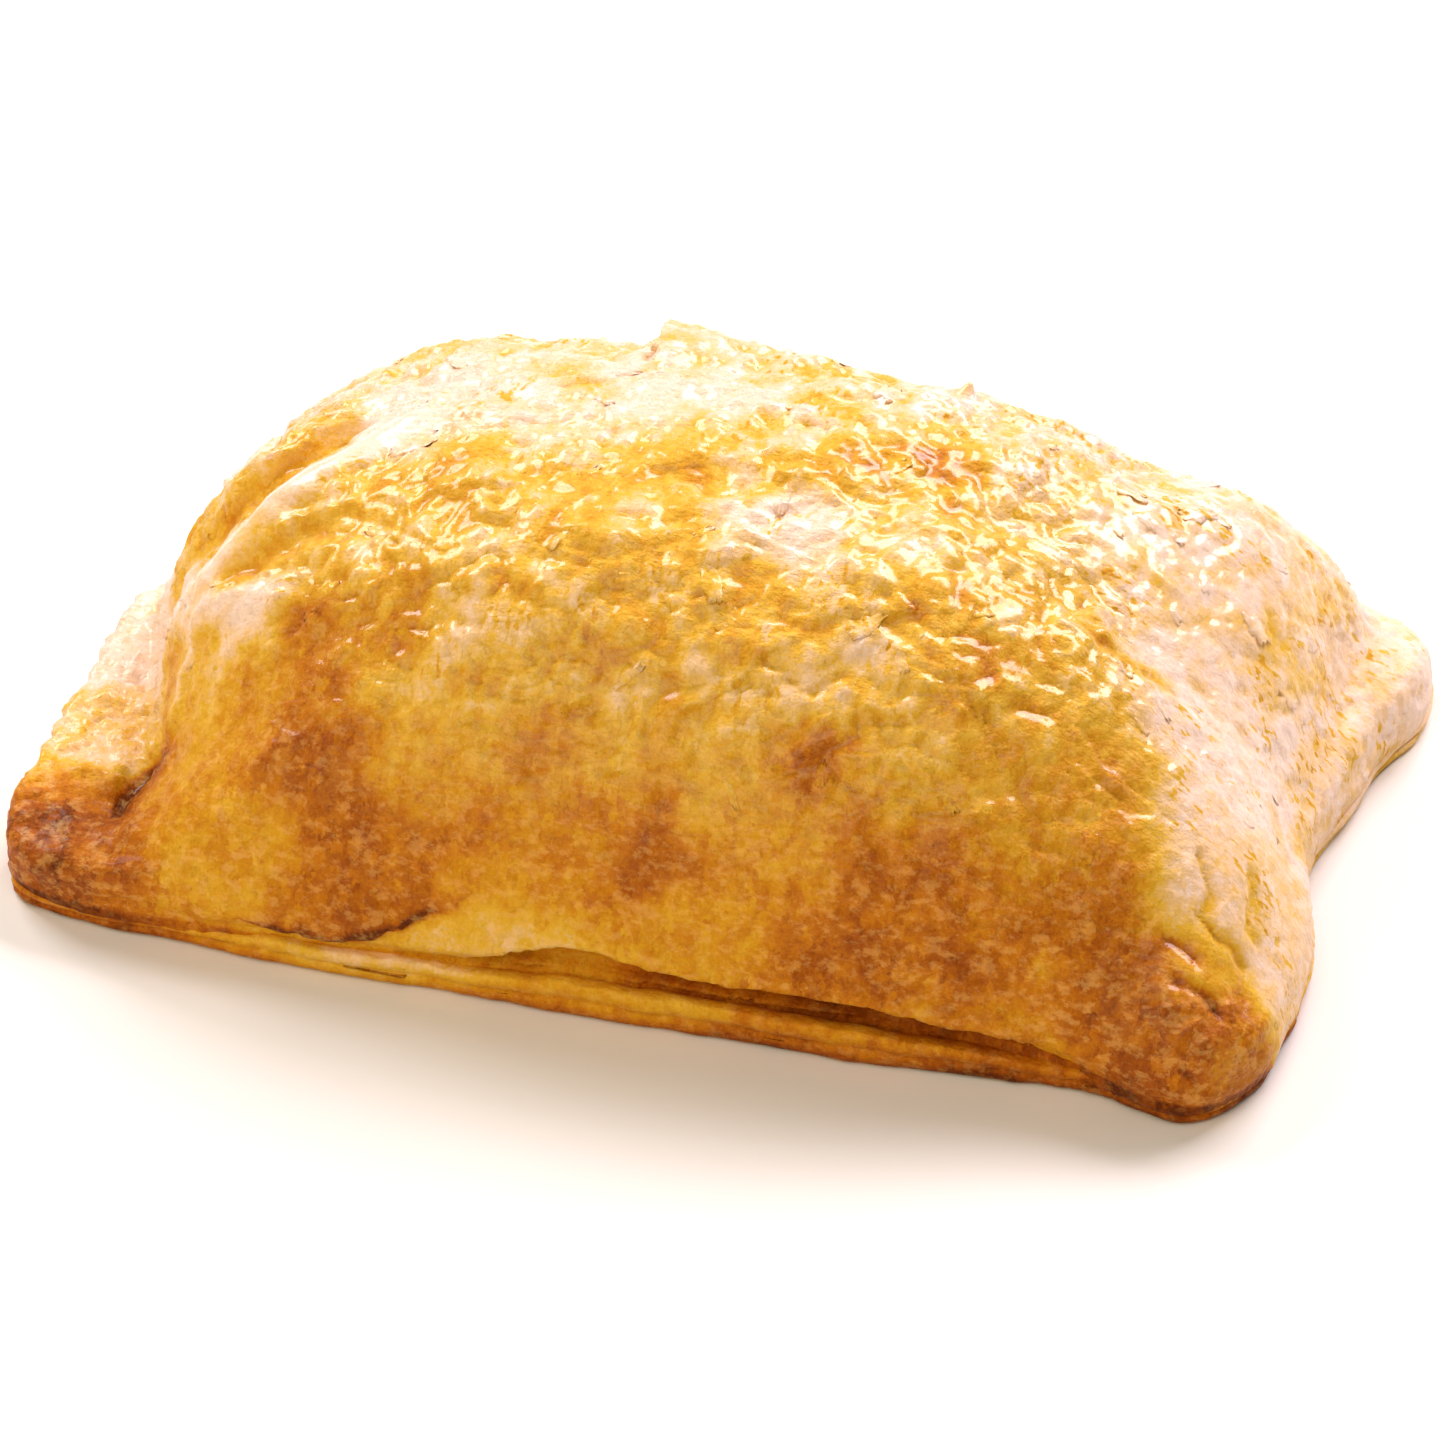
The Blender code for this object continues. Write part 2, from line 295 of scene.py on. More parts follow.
def seam_height(places):
    """Height of the seam's upper edge in mm, all round the pie."""
    waves = wavy(places * (1.0, 1.0, 0.0), 6.0, 4.0)
    height = along_front(places, SEAM_FRONT, SEAM_ROUND + SEAM_ROUND_WAVE * waves)
    return height + SEAM_WAVE * waves


level_normals = normals * (1.0, 1.0, 0.0)
outward = level_normals / np.maximum(np.linalg.norm(level_normals, axis=1), 1e-6)[:, None]
steep = smooth(0.25, 0.6, np.linalg.norm(level_normals, axis=1))
seam = seam_height(points)
under = smooth(seam + SEAM_SOFT / 2, seam - SEAM_SOFT / 2, points[:, 2]) * steep
set_back = along_front(points, SET_BACK_FRONT, SET_BACK_ROUND)
set_back *= 1.0 - SHUT_SHARE * smooth(*SHUT_X, points[:, 0])
swell = EDGE_SWELL * hill(points[:, 2], seam + SWELL_RISE, SWELL_REACH) * steep
points += outward * (swell - set_back * under)[:, None]
print("Seam set back by up to", round(float((set_back * under).max()), 1), "mm")

# %% [markdown]
# Left of the gap the browned top leaf ends early, and the pale inner pastry shows below its
# edge as a cream-coloured layer. At the left it is set in by the thickness of the leaf, and
# to the right the two run into each other without a step.

# %% Let the cream layer show
LEAF_EDGE = (
    (-30.0, 2.9), (-24.0, 3.2), (-20.0, 3.2), (-15.5, 5.2), (-12.8, 6.6), (-10.0, 7.8),
    (-7.1, 8.3), (-4.2, 7.7), (-1.3, 6.9), (2.0, 5.4),
)
LEAF_THICK = 0.45
LEAF_STARTS, LEAF_ENDS = (-29.0, -25.0), (2.5, -2.0)
LEAF_STEPPED = (-10.5, -15.0)
SOFT_BLEND, CRISP_BLEND = 1.6, 0.3

leaf_edge = along_front(points, LEAF_EDGE, 0.0)
leaf_edge += 0.9 * wavy(points, 2.6, 7.0) + 0.4 * wavy(points, 1.0, 8.0)
leaf_run = smooth(*LEAF_STARTS, points[:, 0]) * smooth(*LEAF_ENDS, points[:, 0])
leaf_run *= front_share(points)
stepped = smooth(*LEAF_STEPPED, points[:, 0])
blend = SOFT_BLEND + (CRISP_BLEND - SOFT_BLEND) * stepped
cream = leaf_run * smooth(leaf_edge + blend, leaf_edge - blend, points[:, 2]) * steep
points -= outward * (LEAF_THICK * cream * (0.25 + 0.75 * stepped))[:, None]
leaf_rim = leaf_run * hill(points[:, 2], leaf_edge + 0.35, 0.45) * stepped
print("Cream layer on", int((cream > 0.5).sum()), "points")

# %% [markdown]
# This pie's own marks: a golden crease and a smooth pale ridge at the left, lumps on the
# shoulder, a dark crack at the front left corner, and split leaves over the right corner's
# knob. The solid has the large ones as broad forms. Here they get their crisp edges. Each
# fold is a bent line, with its reach to the sides and how far it stands up or sinks in. All
# but the ridge and the dimple wander a little from their lines.

# %% Sharpen the folds
CREASE_LINE = (
    (-41.2, -4.0), (-39.4, -2.6), (-37.6, -1.4), (-35.8, 0.0), (-34.0, 1.0), (-32.0, 2.2), (-29.6, 4.2),
)
RIDGE_LINE = (
    (-34.8, -8.2), (-33.2, -5.9), (-32.0, -4.4), (-30.6, -3.4), (-28.8, -2.6), (-26.8, -0.4), (-24.0, 2.2),
)
SHOULDER_LINE = (
    (-39.8, -3.6), (-39.2, -6.2), (-37.2, -9.2), (-35.0, -11.9), (-31.6, -12.9), (-29.4, -13.5),
)
FOLDS = {
    "ridge": (RIDGE_LINE, 1.6, 0.55),
    "shoulder": (SHOULDER_LINE, 1.3, 0.60),
    "fall": (((-35.0, -12.4), (-35.8, -14.2), (-36.2, -16.0)), 0.9, 0.40),
    "bead": (((-30.6, -7.4), (-28.0, -7.0), (-25.4, -7.3)), 0.5, 0.35),
    "crease": (CREASE_LINE, 1.2, -0.80),
    "dip": (((-33.4, -10.0), (-31.3, -9.0), (-28.6, -8.8), (-25.4, -9.0), (-22.4, -9.2)), 1.2, -0.60),
    "crack": (((-36.9, -18.0), (-38.2, -17.5), (-38.8, -18.5), (-39.0, -19.9), (-38.8, -21.2)), 0.45, -0.30),
    "dimple": (((41.0, -27.4, 6.3), (40.0, -27.9, 5.6), (40.1, -28.1, 4.6), (41.2, -27.9, 4.0)), 0.4, -0.30),
}
STRAIGHT_FOLDS = ("ridge", "dimple")
SPLITS = (
    ((36.8, -21.6), (38.4, -21.5), (39.8, -21.9)),
    ((39.2, -19.2), (40.8, -19.4), (42.2, -19.0)),
    ((38.6, -23.6), (40.2, -23.9), (41.4, -23.7)),
    ((38.6, -15.6), (39.6, -17.2), (39.5, -18.6)),
    ((41.6, -13.8), (42.4, -15.4), (42.6, -16.8)),
)
SPLIT_REACH, SPLIT_DEPTH = 0.38, 0.40
SPIKE_X, SPIKE_Y, SPIKE_REACH, SPIKE_HEIGHT = 13.3, 15.0, 0.45, 1.0

wander = warped(points, 2.4, 0.7, 23.0)
fold = {}
for name, (line, reach, _) in FOLDS.items():
    gap = along_line(points if name in STRAIGHT_FOLDS else wander, line)
    fold[name] = hill(gap, 0.0, reach)
splits = [hill(along_line(wander, line), 0.0, SPLIT_REACH) for line in SPLITS]
fold["split"] = np.max(splits, axis=0) * smooth(3.0, 4.0, points[:, 2])
spike = hill(np.hypot(points[:, 0] - SPIKE_X, points[:, 1] - SPIKE_Y), 0.0, SPIKE_REACH)
fold_height = SPIKE_HEIGHT * spike - SPLIT_DEPTH * fold["split"]
for name, (_, _, height) in FOLDS.items():
    fold_height += height * fold[name]
on_top = smooth(3.0, 4.5, points[:, 2]) * smooth(-0.3, 0.1, normals[:, 2])
points += normals * (fold_height * on_top)[:, None]
print("Folds", span(fold_height), "mm")

# %% [markdown]
# One large flake tore along the back of the crown. The solid has it as a soft ramp at its
# left end, so we take the ramp away and put a crisp step just behind it.

# %% Cut the torn step
TORN_HEIGHT, TORN_Y, TORN_SPREAD = 2.3, 17.0, 4.5
TORN_RAMP, TORN_STEP_X, TORN_STEP_SOFT = (-10.4, -9.2), -8.9, 0.15
TORN_FULL_X, TORN_END_X = -7.0, 13.0

torn = TORN_HEIGHT * hill(points[:, 1], TORN_Y, TORN_SPREAD) * on_top
torn *= smooth(TORN_END_X, TORN_FULL_X, points[:, 0])
crisp = smooth(TORN_STEP_X - TORN_STEP_SOFT, TORN_STEP_X + TORN_STEP_SOFT, points[:, 0])
step = torn * (crisp - smooth(*TORN_RAMP, points[:, 0]))
points[:, 2] += step
print("Torn step", span(step), "mm")

# %% [markdown]
# The crust isn't the same all over: the front wall, the right slope, the brow between them,
# the pressed strip at the left and the back each have their own relief and bake. We work out
# how far each point belongs to each of them, with borders that wander.

# %% Tell the parts of the crust apart
def zones(places):
    """How far each point belongs to each part of the crust, from 0 to 1."""
    x, y, z = warped(places, 7.0, 2.0, 31.0).T
    across = x + 0.45 * np.minimum(y, 6.0)
    outwards = x + 0.12 * (y + 20.0)
    front_corner = smooth(8.5, 6.0, z) * smooth(-18.0, -22.0, y)
    return {
        "front": smooth(24.5, 14.0, z) * smooth(-6.0, -12.0, y),
        "right": smooth(25.0, 30.0, across) * (1.0 - front_corner),
        "brow": hill(across, 27.0, 3.5) * smooth(4.0, 7.0, z) * smooth(6.0, -2.0, y),
        "left strip": smooth(-36.5, -39.0, outwards) * smooth(-20.5, -17.0, y) * smooth(11.5, 8.5, z),
        "back": smooth(-1.0, 12.0, y),
        "ends": smooth(-4.0, 4.0, 1.2 * (29.0 - np.abs(y)) - (47.0 - np.abs(x))),
    }


zone = zones(points)
print("Zones", {name: round(float(share.mean()), 2) for name, share in zone.items()})

# %% [markdown]
# Now the flaky relief. The golden part of the crust is covered with blisters, leaf edges and
# short strokes that run down the slopes. The front wall is finer, the pressed strip at the
# left is crinkled, and the stretched folds stay smooth.

# %% Raise the blisters, flakes and wrinkles
BLISTER, SMALL_BLISTER = 0.30, 0.24
FLAKE, SMALL_FLAKE = 0.26, 0.18
STROKE = 0.16
CRINKLE, CREASED, FRONT_CRINKLE = 0.32, 0.40, 0.12
LEAST_ROUGH = 0.1

drift = warped(points, 3.0, 0.9, 5.0)
blisters = puffy(drift, 3.4, 2.0, stretch=(1.3, 1.0, 0.9)) - 0.4
small_blisters = puffy(drift, 1.7, 9.0, stretch=(1.2, 1.0, 0.9)) - 0.4
flakes = shingled(drift, 6.5, 3.0, levels=9, stretch=(1.5, 1.0, 0.8))
small_flakes = shingled(drift, 2.8, 8.0, levels=7, edge=0.25, stretch=(1.4, 0.9, 0.9))
down_front = wavy(drift, 1.7, 1.0, stretch=(0.55, 1.4, 1.4))
down_ends = wavy(drift, 1.7, 2.0, stretch=(1.4, 0.55, 1.4))
strokes = down_front + zone["ends"] * (down_ends - down_front)
crinkles = puffy(points, 1.1, 6.0) - 0.4
creased = puffy(drift, 2.1, 16.0, stretch=(0.8, 1.3, 1.0)) - 0.4

smooth_fold = np.clip(fold["ridge"] + 0.6 * fold["crease"] + 0.5 * fold["dip"], 0.0, 1.0)
rough = 1.0 - 0.42 * zone["front"] - 0.40 * zone["right"]
rough *= (1.0 - 0.85 * smooth_fold) * (1.0 - 0.85 * zone["left strip"])
rough = np.clip(rough, LEAST_ROUGH, 1.0)
relief = rough * (
    BLISTER * blisters
    + SMALL_BLISTER * small_blisters
    + FLAKE * flakes
    + SMALL_FLAKE * small_flakes
    + STROKE * strokes * (1.0 - 0.7 * zone["right"] + 1.3 * zone["brow"])
)
relief += (CRINKLE * crinkles + CREASED * creased) * zone["left strip"]
relief += FRONT_CRINKLE * crinkles * zone["front"]
outside = smooth(CRUST_FOOT + 0.2, CRUST_FOOT + 1.0, points[:, 2])
outside *= (1.0 - 0.8 * under) * (1.0 - 0.5 * cream)
points += normals * (relief * outside)[:, None]
set_points(crust_mesh, points)
normals = mesh_normals(crust_mesh)
print("Relief", span(relief), "mm")

# %% [markdown]
# An egg-washed crust browns where it is raised and where the oven is hottest, and stays pale
# where the dough stretched or was covered. The broad brown and pale patches of this pie are
# soft uneven spots, each with its place in mm, its reach and its strength. The pale patches
# on the top and the left shoulder are partly painted highlight of the lights behind.

# %% Place the brown and pale patches
BROWN_SPOTS = (
    ((-24.8, -17.4, 19.9), 4.5, 0.17), ((-19.5, -15.0, 24.1), 3.0, 0.16), ((-22.0, -24.6, 14.0), 5.5, 0.24),
    ((-16.3, -27.0, 10.9), 4.5, 0.18), ((-11.7, -26.6, 12.5), 3.0, 0.10), ((1.5, -26.0, 12.5), 4.0, 0.20),
    ((-2.2, -24.5, 16.4), 3.0, 0.10), ((14.0, -21.0, 20.5), 4.5, 0.20), ((19.4, -25.1, 12.9), 6.5, 0.22),
    ((31.0, -22.8, 12.0), 5.0, 0.12), ((14.4, -27.2, 7.3), 5.0, 0.10), ((24.5, -26.4, 7.5), 4.5, 0.16),
    ((-20.0, -28.8, 4.6), 5.0, 0.16), ((-42.0, -26.0, 4.6), 7.5, 0.28), ((39.2, -26.8, 5.2), 8.0, 0.24),
    ((39.4, -22.0, 9.2), 3.0, 0.20), ((-36.8, -18.6, 8.0), 2.5, 0.20), ((12.5, 4.5, 28.6), 6.5, 0.10),
    ((14.9, 4.2, 28.1), 3.0, 0.16), ((12.2, 6.0, 28.9), 2.5, 0.14), ((5.6, 14.0, 27.5), 4.0, 0.16),
    ((-9.8, 1.0, 28.8), 2.5, 0.14), ((-5.2, -4.5, 29.1), 2.2, 0.16), ((31.9, -5.3, 18.3), 2.5, 0.34),
    ((16.5, -9.9, 27.0), 3.0, 0.12), ((-13.1, -21.5, 20.6), 3.0, 0.14), ((-7.0, -22.5, 19.2), 3.0, 0.08),
)
# Pale patches: partly paler dough, partly painted highlight on the top and the left shoulder.
PALE_AND_HIGHLIGHT_SPOTS = (
    ((-31.5, -14.0, 17.5), 4.0, 0.36), ((-34.4, -15.8, 13.8), 3.5, 0.32), ((-23.0, 4.5, 26.5), 7.0, 0.32),
    ((5.5, -7.0, 28.5), 4.5, 0.30), ((7.5, -4.0, 28.9), 3.0, 0.20), ((-12.7, 1.0, 28.3), 5.0, 0.22),
    ((14.4, -13.9, 25.5), 2.5, 0.12), ((0.0, -19.5, 22.8), 2.0, 0.06), ((-9.0, -20.8, 21.8), 1.8, 0.06),
    ((-11.5, -19.5, 22.9), 1.8, 0.06), ((-6.8, 5.7, 28.9), 5.0, 0.24), ((-1.2, 6.9, 29.2), 4.0, 0.20),
    ((5.4, 4.4, 29.5), 3.0, 0.16), ((-30.5, -27.9, 5.9), 5.0, 0.22), ((31.5, -25.6, 7.2), 4.0, 0.12),
    ((43.6, -25.2, 4.8), 2.5, 0.16), ((36.0, -4.0, 14.0), 8.0, 0.14), ((-43.6, -21.8, 5.6), 1.4, 0.30),
    ((-41.0, -16.5, 6.2), 2.4, 0.20), ((-38.6, -5.5, 13.5), 3.5, 0.30), ((-27.0, 8.0, 23.0), 5.0, 0.12),
)


def spots(places, marks, wander):
    """Sum of the patches, with outlines that wander like the given points."""
    total = np.zeros(len(places))
    for place, reach, strength in marks:
        gap = np.linalg.norm(wander - np.array(place), axis=1)
        total += strength * smooth(1.35 * reach, 0.35 * reach, gap)
    return total


spot_points = warped(points, 4.0, 3.0, 12.0)
brown = spots(points, BROWN_SPOTS, spot_points)
pale = spots(points, PALE_AND_HIGHLIGHT_SPOTS, spot_points)
print("Brown patches", span(brown), "and pale patches", span(pale))

# %% [markdown]
# We keep the bake as a number at each point, from 0 for pale dough to 1 for dark brown, and
# the material turns it into a colour. Painted light goes into the same number. Each part of
# the pie has its own base, the noise adds mottling, and every fold is browner or paler in its
# own measure: the ridge, the shoulder and the fall are paler partly as painted highlight, and
# the crease is browner as painted shade. The glaze is a number too: the egg wash lies thickest
# on the top and the right slope.

# %% Bake and glaze the crust
BASE_BAKE = 0.36
# How much browner each fold is: the ridge, shoulder and fall are paler partly as painted highlight, the
# crease browner as painted shade.
FOLD_BAKE_AND_PAINTED_LIGHT = {
    "crease": 0.12, "dip": 0.08, "ridge": -0.44, "shoulder": -0.26, "fall": -0.16, "crack": 0.85,
    "split": 0.22, "dimple": 0.16,
}
MOST_GLAZE = 0.8


def bake_and_painted_light_at(places, share):
    """How brown each point of the crust is, from 0 to 1, without its own folds; painted sheen and shade are
    part of it.
    """
    bake_and_painted_light = np.full(len(places), BASE_BAKE)
    # The right slope, the crown's back and the pressed strip are paler, partly as painted sheen of the lights
    # behind.
    bake_and_painted_light += 0.15 * share["front"] * (1.0 - share["right"]) - 0.24 * share["right"]
    bake_and_painted_light -= 0.18 * share["back"] * (1.0 - share["right"]) + 0.36 * share["left strip"]
    # The back wall is browner: painted shade, so that the strong light behind doesn't wash it out.
    back_wall = smooth(21.0, 26.0, places[:, 1]) * smooth(21.0, 13.0, places[:, 2])
    bake_and_painted_light += 0.26 * back_wall * smooth(38.0, 30.0, np.abs(places[:, 0]))
    calm = 1.0 - 0.6 * share["front"]
    bake_and_painted_light += 0.10 * wavy(places, 9.0, 41.0)
    bake_and_painted_light += (0.20 * wavy(places, 3.2, 42.0) + 0.12 * wavy(places, 1.3, 43.0)) * calm
    # The pale patches taken off here are partly painted highlight.
    return bake_and_painted_light + brown - pale * (1.0 - 0.55 * share["front"])


bake_and_painted_light = bake_and_painted_light_at(points, zone)
off_front = 1.0 - zone["front"]
# Off the front, raised flakes are paler as painted highlight and the hollows darker as painted shade; on the
# front, raised flakes are browner.
bake_and_painted_light += 0.20 * relief * zone["front"] - (0.25 * relief + 0.05 * rough * strokes) * off_front
# Painted highlight on the pale folds and painted shade in the crease go in here.
for name, change in FOLD_BAKE_AND_PAINTED_LIGHT.items():
    bake_and_painted_light += change * fold[name]
bake_and_painted_light += 0.40 * leaf_rim - 0.24 * cream
# The crust's wall under the seam is browner: painted shade in the gap between the two sheets.
bake_and_painted_light += 0.22 * under * (1.0 - zone["right"]) + 0.04 * zone["front"]
bake_and_painted_light = np.clip(bake_and_painted_light, 0.0, 1.0)
glaze = 0.10 + 0.60 * smooth(10.0, 23.0, points[:, 2])
glaze += 0.25 * zone["right"] * smooth(6.0, 10.0, points[:, 2])
glaze += 0.35 * zone["left strip"] + 0.30 * zone["brow"]
glaze = np.clip(glaze * (1.0 - 0.8 * under) * (1.0 - 0.8 * cream), 0.0, MOST_GLAZE)
print("Bake", span(bake_and_painted_light), "and glaze", span(glaze))

# %% [markdown]
# On the pale parts, at the right and along the back, golden dashes show between the strokes.
# They are partly wash that ran into the low places and partly painted shade in those places.
# They come in loose clusters, so a broad noise says where they are, and the folds, the cream
# layer and the pressed strip have none.

# %% Say where the golden dashes are
FLECK_CLUSTERS = 5.0

dashed = smooth(0.42, 0.15, bake_and_painted_light) * smooth(-0.10, 0.40, wavy(points, FLECK_CLUSTERS, 91.0))
dashed *= (1.0 - cream) * (1.0 - smooth_fold) * (1.0 - zone["left strip"])
print("Golden dashes on", round(100.0 * float(dashed.mean())), "% of the crust")

# %% [markdown]
# Tiny flakes have dry pale tips that catch the light; the pale colour painted on them is partly
# painted highlight. The front wall has the most of them.
# And where the dough is stretched smooth, over the folds and down the right slope, the fine
# grain is weaker. Both are kept as numbers on the points too.

# %% Say where the pale tips and the fine grain are
LEAST_GRAIN = 0.2

# Where the pale tips go; their colour is partly painted highlight.
tips_and_highlights = 0.35 + 0.55 * zone["front"] - 0.20 * zone["right"]
tips_and_highlights += 1.6 * zone["front"] * pale
tips_and_highlights *= (1.0 - 0.8 * smooth_fold) * (1.0 - 0.7 * under)
grain = 1.0 - 0.55 * zone["right"] * (1.0 - zone["brow"]) - 0.5 * smooth_fold
grain = np.clip(grain, LEAST_GRAIN, 1.0)
print("Pale tips", span(tips_and_highlights), "and grain", span(grain))

# %% [markdown]
# The crust is ready. All its numbers go onto its mesh as layers that the material can read,
# and the mesh goes into the scene as a piece of the pie.

# %% Put the upper crust into the scene
def paint(mesh, numbers):
    """Keeps each set of numbers as a layer of the mesh, one number for each point."""
    for name, values in numbers.items():
        layer = mesh.attributes.new(name, "FLOAT", "POINT")
        layer.data.foreach_set("value", np.full(len(mesh.vertices), values, np.float32))


def add_piece(name, mesh):
    """Puts a finished mesh into the scene as a piece that rides with the pie."""
    piece = new_object(name, mesh)
    mesh.shade_smooth()
    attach(piece, "root")
    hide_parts("pie")
    print(name, "has", sum(len(face.vertices) - 2 for face in mesh.polygons), "triangles")
    return piece


crust_numbers = {
    "bake_and_painted_light": bake_and_painted_light, "glaze": glaze, "dashed": dashed, "tips_and_highlights": tips_and_highlights, "grain": grain, "ends": zone["ends"],
}
paint(crust_mesh, crust_numbers)
upper_crust = add_piece("upper_crust", crust_mesh)

# %% [markdown]
# The lower sheet lies flat, and its edge follows the outline of the solid. To find that
# outline, we look inwards at the solid from far away, all the way round, and spread the
# places that we hit evenly.

# %% Walk round the outline
OUTLINE_STEPS = 1300
OUTLINE_LEVEL = 2.0
FAR_AWAY = 0.2
WAY_STEPS = 6


def walk_outline(level, steps):
    """Points round the solid at one height, evenly spread, with their outward directions."""
    found = []
    for turn in np.linspace(0.0, math.tau, 4 * steps, endpoint=False):
        way = Vector((math.cos(turn), math.sin(turn), 0.0))
        hit = solid_tree.ray_cast(way * FAR_AWAY + Vector((0, 0, level * MM)), -way)[0]
        found.append((hit.x / MM, hit.y / MM))
    ring = np.array(found + found[:1])
    lengths = np.concatenate([[0.0], np.cumsum(np.hypot(*np.diff(ring, axis=0).T))])
    even = np.linspace(0.0, lengths[-1], steps, endpoint=False)
    places = np.stack([np.interp(even, lengths, ring[:, axis]) for axis in range(2)], axis=1)
    ways = np.roll(places, -WAY_STEPS, axis=0) - np.roll(places, WAY_STEPS, axis=0)
    ways = np.stack([ways[:, 1], -ways[:, 0]], axis=1)
    return places, ways / np.linalg.norm(ways, axis=1)[:, None]


outline, outline_ways = walk_outline(OUTLINE_LEVEL, OUTLINE_STEPS)
print("Outline reaches", [round(float(reach), 1) for reach in outline.max(axis=0)], "mm")

# %% [markdown]
# Only the edge of the lower sheet shows: a pale lip of pressed leaves, cut with a knife, so
# its layers run along it like the pages of a book. We lay rows of points from under the crust
# over the top of the lip and down its edge, and every leaf wanders in and out by its own
# noise.

# %% Build the lower sheet
LIP_FRONT = (
    (-47.0, 1.2), (-30.0, 1.7), (-26.0, 2.2), (-11.0, 2.2), (-4.0, 2.9), (2.5, 2.9), (8.1, 2.9),
    (12.9, 3.0), (17.8, 2.9), (21.6, 2.6), (27.1, 2.2), (31.4, 1.7), (47.0, 1.3),
)
LIP_ROUND = 1.3
LEAVES = 2
ROWS_IN_LEAF = 7
LIP_TOP_ROWS = 7
LIP_REACH_IN, FOOT_REACH_IN = 4.0, 0.6
SHEET_FILL = 0.9
LIP_BELLY = 0.22
LIP_OUT, LIP_SLANT = 0.15, 0.25
LEAF_SHARE, LEAF_GAP = 0.94, 0.03


def ring_faces(bm, rows):
    """Joins rows of points into a band that closes on itself."""
    for upper, lower in zip(rows[:-1], rows[1:]):
        for i in range(len(upper)):
            j = (i + 1) % len(upper)
            bm.faces.new((upper[i], lower[i], lower[j], upper[j]))


def lip_rows(flat):
    """Push outwards and height of each row of the lower sheet, from its inside to its foot."""
    top = along_front(flat, LIP_FRONT, LIP_ROUND + 0.2 * wavy(flat, 8.0, 14.0))
    top += 0.2 * wavy(flat, 2.6, 21.0)
    rows = []
    for k in range(LIP_TOP_ROWS):
        share = 1.0 - k / LIP_TOP_ROWS
        sag = (top - SHEET_FILL) * smooth(0.3, 1.0, np.full(len(top), share))
        inset = LIP_REACH_IN * share**1.5 + 0.1 * wavy(flat, 1.8, 30.0 + k)
        rows.append((-inset, top - sag + 0.1 * wavy(flat, 1.5, 25.0 + k)))
    for leaf in range(LEAVES):
        reach = 0.26 * wavy(flat, 5.0, 50.0 + 3.0 * leaf) + 0.12 * wavy(flat, 1.6, 60.0 + 3.0 * leaf)
        for k in range(ROWS_IN_LEAF):
            down = k / (ROWS_IN_LEAF - 1)
            share = (leaf + down * LEAF_SHARE + LEAF_GAP) / LEAVES
            belly = LIP_BELLY * (math.sin(math.pi * down) ** 0.6 - 1.0)
            rows.append((LIP_OUT + reach + belly - LIP_SLANT * share, top * (1.0 - share)))
    rows.append((np.full(len(top), -FOOT_REACH_IN), np.zeros(len(top))))
    return rows


def lower_sheet_mesh():
    """The flat lower sheet, with the leaves of its cut edge."""
    bm = bmesh.new()
    made = []
    for push, height in lip_rows(np.column_stack([outline, np.zeros(len(outline))])):
        places = np.column_stack([outline + outline_ways * push[:, None], height]) * MM
        made.append([bm.verts.new(place) for place in places.tolist()])
    ring_faces(bm, made)
    bm.faces.new(made[0])
    bm.faces.new(list(reversed(made[-1])))
    bmesh.ops.recalc_face_normals(bm, faces=bm.faces)
    return to_mesh(bm, "lower_sheet")


sheet_mesh = lower_sheet_mesh()
print("Lower sheet has", len(sheet_mesh.vertices), "points")

# %% [markdown]
# The sheet is brownest at its foot, where it touched the hot tray, and at its left end. It
# is palest left of the middle and at its right end, where the paleness is partly painted
# sheen, as on the right slope above it.

# %% Bake the lower sheet
SHEET_BAKE = 0.54


def sheet_bake_and_painted_light_at(places):
    """How brown each point of the lower sheet is, from 0 to 1, with painted sheen at its right end."""
    x, y, z = places.T
    bake_and_painted_light = SHEET_BAKE + 0.14 * wavy(places, 6.0, 71.0) + 0.12 * wavy(places, 1.5, 72.0)
    bake_and_painted_light += 0.20 * smooth(1.2, 0.2, z) - 0.12 * smooth(1.0, 2.4, z)
    bake_and_painted_light += front_share(places) * 0.16 * smooth(-4.0, 18.0, x)
    bake_and_painted_light -= front_share(places) * 0.16 * hill(x, -19.0, 9.0)
    bake_and_painted_light += 0.16 * smooth(-31.0, -36.0, x)
    # Paler at the right end: partly painted sheen, as on the right slope above it.
    bake_and_painted_light -= 0.40 * smooth(36.0, 44.0, x + 0.45 * np.minimum(y, 6.0))
    return np.clip(bake_and_painted_light, 0.0, 1.0)


sheet_bake_and_painted_light = sheet_bake_and_painted_light_at(mesh_points(sheet_mesh))
paint(sheet_mesh, {"bake_and_painted_light": sheet_bake_and_painted_light, "glaze": 0.05, "dashed": 0.0, "tips_and_highlights": 0.6, "grain": 1.0, "ends": 0.0})
lower_sheet = add_piece("lower_sheet", sheet_mesh)

# %% [markdown]
# Loose leaves: thin bits of pastry that came away from the crust at one end. Each one is a
# small curved grid with a ragged outline, laid on the crust by finding the nearest point
# under every corner of the grid, with one end bent up.

# %% Lay one loose leaf
FLAKE_CELLS = 8
FLAKE_RISE, FLAKE_RIM_DROP = 0.06, 0.10
FLAKE_LOOSE = 0.2
crust_tree = BVHTree.FromPolygons(
    [tuple(p) for p in points.tolist()],
    [tuple(face.vertices) for face in crust_mesh.polygons],
)


def grid_faces(bm, grid):
    """Joins rows of points into a sheet of four-sided faces."""
    for lower, upper in zip(grid[:-1], grid[1:]):
        for j in range(len(lower) - 1):
            bm.faces.new((lower[j], upper[j], upper[j + 1], lower[j + 1]))


